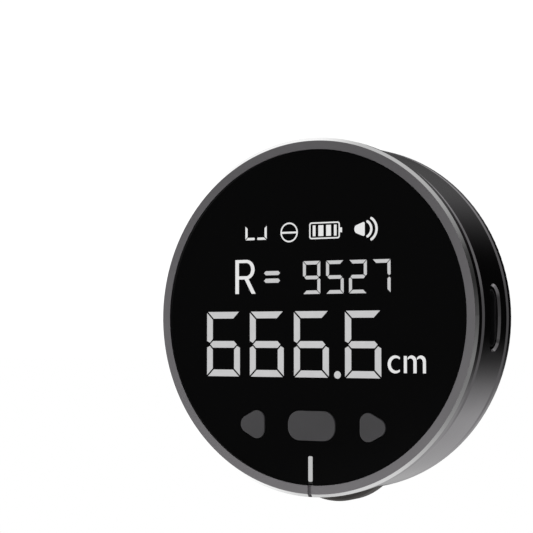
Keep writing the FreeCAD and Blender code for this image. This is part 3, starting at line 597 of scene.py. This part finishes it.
def make_index():
    """The printed mark on the lens that lines up with the notch in the bezel, and a faint printed dash
    below it, both with a painted glow.
    """
    art = Artwork("index_line", mark_ink_painted_glow, "washer_plastic")
    art.polygon(rounded_box(-0.60, -25.93, 0.16, -21.94, 0.2))
    art.finish()
    faint = Artwork("index_dash", faint_ink_painted_glow, "washer_plastic")
    faint.polygon(box(-0.6, -26.2, 0.2, -26.05))
    faint.finish()


make_digits()
make_letters()
make_icons()
make_index()


# ---- Studio ----

# Light in the room: the brightest that its nodes hold, and the largest share in its belt.
BRIGHTEST = 2.4
BELT_PEAK = 1.3
# Metres.
FLOOR_REACH = 1.5
DOME_RADIUS = 2.2
LIGHT_AIM = (0, 0, 0.03)
# A little over 1, so that the dome comes out pure white.
DOME_LIGHT = 1.02
# The camera's direction from the object, in degrees, then its distance, lens and sensor.
CAMERA_AZIMUTH = 29.93
CAMERA_ELEVATION = -2.54
CAMERA_DISTANCE_MM = 256.0
CAMERA_LENS_MM = 107.8
CAMERA_SENSOR_MM = 36.0
# What it looks at: how far right of, behind and above the middle of the bezel's face.
CAMERA_AIM_MM = (-8.00, -0.04, 8.10)


def stage_object(name, mesh, material):
    thing = bpy.data.objects.new(name, mesh)
    bpy.context.scene.collection.objects.link(thing)
    mesh.materials.append(material)
    return thing


def make_floor():
    """A pale floor that glows evenly and lights the object from below, but isn't mirrored in it."""
    mesh = bpy.data.meshes.new("studio_floor")
    reach = FLOOR_REACH
    mesh.from_pydata([(-reach, -reach, 0), (reach, -reach, 0), (reach, reach, 0), (-reach, reach, 0)],
                     [], [(0, 1, 2, 3)])
    material, _, skin = shader_tree("studio_floor")
    skin.inputs["Base Color"].default_value = (0, 0, 0, 1)
    skin.inputs["Specular IOR Level"].default_value = 0.0
    skin.inputs["Emission Color"].default_value = (1, 1, 1, 1)
    skin.inputs["Emission Strength"].default_value = 1.0
    floor = stage_object("studio_floor", mesh, material)
    floor.visible_glossy = False


def make_backdrop():
    """A white dome that only the camera sees."""
    shape = bmesh.new()
    bmesh.ops.create_uvsphere(shape, u_segments=48, v_segments=24, radius=DOME_RADIUS)
    mesh = bpy.data.meshes.new("studio_backdrop")
    shape.to_mesh(mesh)
    shape.free()
    material = bpy.data.materials.new("studio_backdrop")
    material.use_nodes = True
    tree = material.node_tree
    tree.nodes.clear()
    light = add(tree, "ShaderNodeEmission", Color=(1, 1, 1, 1), Strength=DOME_LIGHT)
    link(tree, light.outputs["Emission"], add(tree, "ShaderNodeOutputMaterial").inputs["Surface"])
    dome = stage_object("studio_backdrop", mesh, material)
    for kind in ("diffuse", "glossy", "transmission", "volume_scatter", "shadow"):
        setattr(dome, "visible_" + kind, False)


def patch(tree, direction, centre, inner, outer):
    """1 within the inner angle of a direction in the room, falling to 0 at the outer angle."""
    towards = Vector(centre).normalized()
    dot = add(tree, "ShaderNodeVectorMath", operation="DOT_PRODUCT")
    dot.inputs[1].default_value = towards
    link(tree, direction, dot.inputs[0])
    fade = add(tree, "ShaderNodeMapRange", interpolation_type="SMOOTHSTEP")
    fade.inputs["From Min"].default_value = math.cos(math.radians(outer))
    fade.inputs["From Max"].default_value = math.cos(math.radians(inner))
    link(tree, dot.outputs["Value"], fade.inputs["Value"])
    return fade.outputs["Result"]


def graded(tree, sine, profile, full):
    """Light by the sine of an angle, from stops of sine and light, as a share of the full light."""
    along = add(tree, "ShaderNodeMapRange")
    along.inputs["From Min"].default_value = -1.0
    link(tree, sine, along.inputs["Value"])
    levels = add(tree, "ShaderNodeValToRGB")
    stops = levels.color_ramp.elements
    while len(stops) < len(profile):
        stops.new(0.5)
    for stop, (place, light) in zip(stops, profile):
        stop.position = (place + 1) / 2
        share = light / full
        stop.color = (share, share, share, 1)
    link(tree, along.outputs["Result"], levels.inputs["Fac"])
    return levels.outputs["Color"]


def make_room():
    """The studio as the metal and glass see it: light above, below, behind and left, dark cards between."""
    world = bpy.data.worlds.new("studio_room")
    bpy.context.scene.world = world
    world.use_nodes = True
    tree = world.node_tree
    tree.nodes.clear()
    direction = add(tree, "ShaderNodeTexCoord").outputs["Generated"]
    apart = add(tree, "ShaderNodeSeparateXYZ")
    link(tree, direction, apart.inputs["Vector"])
    # Sine of the angle above the horizon, and the light that comes from there.
    profile = [(-1.0, 1.7), (-0.86, 1.02), (-0.69, 0.60), (-0.54, 0.47), (-0.43, 0.38), (-0.29, 0.41),
               (-0.17, 0.31), (0.04, 0.14), (0.25, 0.05), (0.45, 0.10), (0.61, 0.50), (0.75, 0.75),
               (0.90, 1.03), (1.0, 1.2)]
    # The share of that light, by the sine towards the back: dimmer round the sides, brightest behind.
    belt = [(-1.0, 1.0), (-0.8, 0.95), (-0.68, 0.65), (-0.32, 0.65), (-0.12, 0.62), (0.0, 0.57),
            (0.45, 0.57), (0.75, 1.28), (1.0, 1.3)]
    mixed_light = add(tree, "ShaderNodeMix", data_type="RGBA", blend_type="MULTIPLY")
    mixed_light.inputs["Factor"].default_value = 1.0
    link(tree, graded(tree, apart.outputs["Z"], profile, BRIGHTEST / BELT_PEAK), mixed_light.inputs["A"])
    link(tree, graded(tree, apart.outputs["Y"], belt, BELT_PEAK), mixed_light.inputs["B"])
    colour = mixed_light.outputs["Result"]
    # Direction, inner and outer angle in degrees, and light. Each one covers those before it.
    window = ((-0.95, -0.15, 0.0), 36, 70, 1.5)
    window_top = ((-0.62, -0.12, 0.78), 8, 30, 1.3)
    right_card = ((0.99, 0.05, 0.04), 12, 30, 0.15)
    front_fill = ((0.05, -0.96, -0.26), 10, 36, 0.77)
    front_card = ((-0.54, -0.81, 0.18), 15, 31, 0.03)
    lip_strip = ((0.83, -0.12, 0.48), 6, 22, 0.28)
    rear_card = ((0.47, 0.87, 0.10), 10, 37, 0.003)
    areas = (window, window_top, right_card, front_fill, front_card, lip_strip, rear_card)
    for centre, inner, outer, light in areas:
        mix = add(tree, "ShaderNodeMix", data_type="RGBA")
        link(tree, patch(tree, direction, centre, inner, outer), mix.inputs["Factor"])
        link(tree, colour, mix.inputs["A"])
        share = light / BRIGHTEST
        mix.inputs["B"].default_value = (share, share, share, 1)
        colour = mix.outputs["Result"]
    background = add(tree, "ShaderNodeBackground", Strength=BRIGHTEST)
    link(tree, colour, background.inputs["Color"])
    link(tree, background.outputs["Background"], add(tree, "ShaderNodeOutputWorld").inputs["Surface"])


def make_softbox(name, place, aim, size, watts):
    """A soft light that fills matt surfaces and leaves no shape in the polished ones."""
    data = bpy.data.lights.new(name, "AREA")
    data.shape = "DISK"
    data.size = size
    data.energy = watts
    light = bpy.data.objects.new(name, data)
    light.location = place
    light.rotation_euler = (Vector(aim) - Vector(place)).to_track_quat("-Z", "Y").to_euler()
    light.visible_glossy = False
    light.visible_camera = False
    bpy.context.scene.collection.objects.link(light)


def make_camera():
    """Seen from the object's right and a little below its middle, through a long lens."""
    azimuth = math.radians(CAMERA_AZIMUTH)
    elevation = math.radians(CAMERA_ELEVATION)
    data = bpy.data.cameras.new("camera")
    data.sensor_width = CAMERA_SENSOR_MM
    data.lens = CAMERA_LENS_MM
    data.clip_start = 0.01
    data.clip_end = 10.0
    camera = bpy.data.objects.new("camera", data)
    right, behind, above = CAMERA_AIM_MM
    aim = Vector((CENTRE_X + right * MM, FACE_Y + behind * MM, CENTRE_Z + above * MM))
    back = Vector((math.sin(azimuth) * math.cos(elevation), -math.cos(azimuth) * math.cos(elevation),
                   math.sin(elevation)))
    camera.location = aim + back * CAMERA_DISTANCE_MM * MM
    camera.rotation_euler = (-back).to_track_quat("-Z", "Y").to_euler()
    bpy.context.scene.collection.objects.link(camera)
    bpy.context.scene.camera = camera


make_floor()
make_backdrop()
make_room()
make_softbox("front_fill", place=(0.25, -0.9, 0.55), aim=LIGHT_AIM, size=0.7, watts=3.0)
make_softbox("top_fill", place=(-0.2, 0.1, 1.1), aim=LIGHT_AIM, size=0.9, watts=3.5)
make_camera()
bpy.context.scene.view_settings.view_transform = "Standard"
